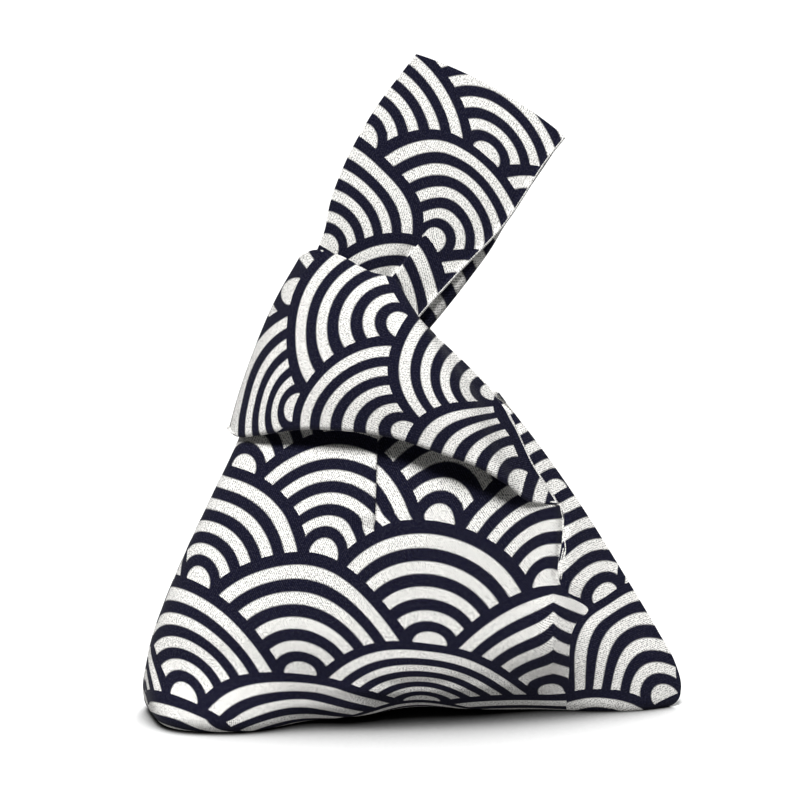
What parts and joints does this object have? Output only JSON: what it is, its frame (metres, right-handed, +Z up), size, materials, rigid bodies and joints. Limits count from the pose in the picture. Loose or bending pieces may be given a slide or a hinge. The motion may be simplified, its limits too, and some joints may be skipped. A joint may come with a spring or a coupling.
{
  "type": "knot bag",
  "caption": "Small knotted wrist pouch of printed cotton: a standing lined sack whose long strap loop is drawn through its short strap loop to close it.",
  "frame": {"origin": "middle of the footprint, on the surface that the bag stands on", "axes": "+Z up, +X to the right as seen from the front, -Y towards the viewer"},
  "size_m": [0.2052, 0.0636, 0.2532],
  "materials": {
    "printed_cotton": "matt plain weave, navy waves on off-white",
    "lining_cotton": "matt plain weave, off-white"
  },
  "bodies": {
    "bag": {"front_panel": "printed_cotton", "front_lining": "lining_cotton", "back_panel": "printed_cotton", "back_lining": "lining_cotton", "left_side_seam": "printed_cotton", "right_side_seam": "printed_cotton", "base_seam": "printed_cotton", "short_loop_front": "printed_cotton", "short_loop_front_lining": "lining_cotton", "short_loop_back": "printed_cotton", "short_loop_back_lining": "lining_cotton", "short_loop_end_seam": "printed_cotton"},
    "strap_throat": {"throat_front": "printed_cotton", "throat_front_lining": "lining_cotton", "throat_back": "printed_cotton", "throat_back_lining": "lining_cotton"},
    "long_loop": {"long_loop_front": "printed_cotton", "long_loop_front_lining": "lining_cotton", "long_loop_back": "printed_cotton", "long_loop_back_lining": "lining_cotton", "long_loop_end_seam": "printed_cotton", "long_loop_knuckle": "printed_cotton"}
  },
  "joints": [
    {"name": "loop_draw", "type": "slide", "parent": "bag", "child": "strap_throat", "axis": [0.5, 0, 0.866], "range_m": [0, 0.025]},
    {"name": "loop_flop", "type": "hinge", "parent": "strap_throat", "child": "long_loop", "pos_m": [-0.01181, 0.0001, 0.1682], "axis": [0.866, 0, -0.5], "range_deg": [-80, 80]}
  ]
}
